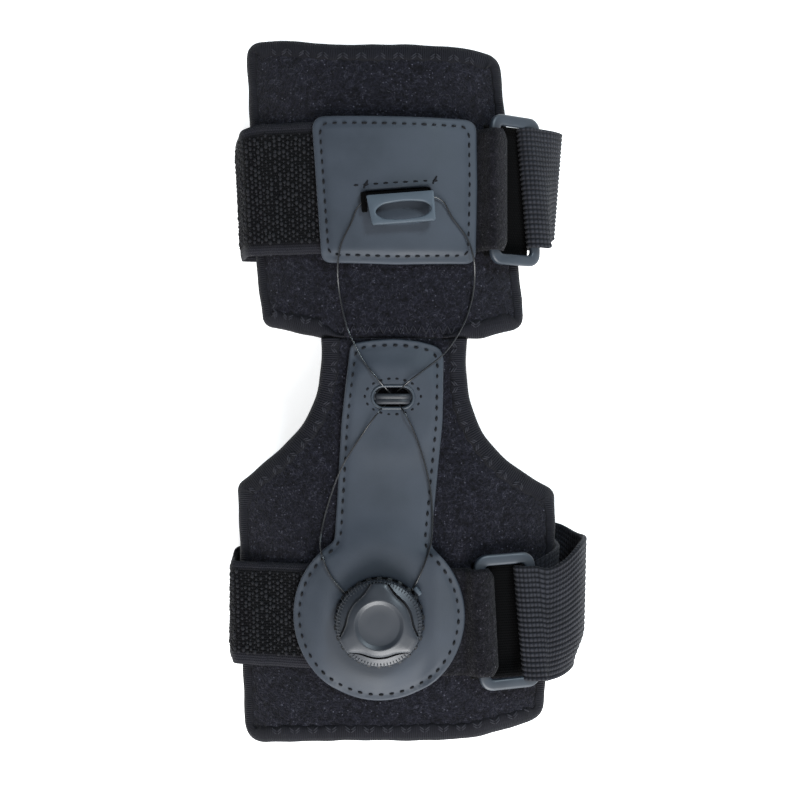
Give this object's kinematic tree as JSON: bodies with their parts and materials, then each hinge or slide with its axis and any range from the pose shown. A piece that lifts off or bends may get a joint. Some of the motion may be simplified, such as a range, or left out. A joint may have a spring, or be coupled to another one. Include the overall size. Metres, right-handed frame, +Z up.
{
  "type": "ankle brace",
  "caption": "Padded ankle-and-foot brace with leather patches, buckled straps and a rotary dial that tightens a lace between the ankle and foot cuffs.",
  "frame": {"origin": "middle of the base of the brace as it lies, on the surface that its straps rest on", "axes": "+X across the brace towards the buckles, +Y along it from the foot cuff to the ankle cuff, +Z up, out of the front that carries the dial"},
  "size_m": [0.1413, 0.2672, 0.0553],
  "materials": {
    "panel_fabric": "brushed pile fabric on foam",
    "binding_tape": "ribbed woven edge tape",
    "hook_tape": "hook tape",
    "webbing": "ribbed elastic webbing",
    "pile": "soft pile tape",
    "buckle_plastic": "satin moulded plastic",
    "leather": "smooth synthetic leather",
    "dial_plastic": "satin moulded plastic",
    "lace": "coated wire lace"
  },
  "bodies": {
    "brace": {"calf_panel": "panel_fabric", "foot_panel": "panel_fabric", "calf_binding": "binding_tape", "foot_binding": "binding_tape", "calf_hook_strap": "hook_tape", "foot_hook_strap": "hook_tape", "calf_webbing": "webbing", "foot_webbing": "webbing", "calf_buckle_loop": "pile", "foot_buckle_loop": "pile", "calf_buckle": "buckle_plastic", "foot_buckle": "buckle_plastic", "ankle_patch": "leather", "dial_patch": "leather", "lace_clip": "dial_plastic", "lace_guide": "dial_plastic", "dial_base": "dial_plastic", "lace": "lace"},
    "dial_ring": {"dial_collar": "dial_plastic"},
    "dial_knob": {"dial_grip": "dial_plastic", "dial_cap": "dial_plastic"}
  },
  "joints": [
    {"name": "dial_turn", "type": "hinge", "parent": "brace", "child": "dial_ring", "pos_m": [-0.0102, -0.0856, 0.047], "axis": [0, 0, 1], "continuous": true},
    {"name": "dial_lift", "type": "slide", "parent": "dial_ring", "child": "dial_knob", "axis": [0, 0, 1], "range_m": [0, 0.0025]}
  ]
}
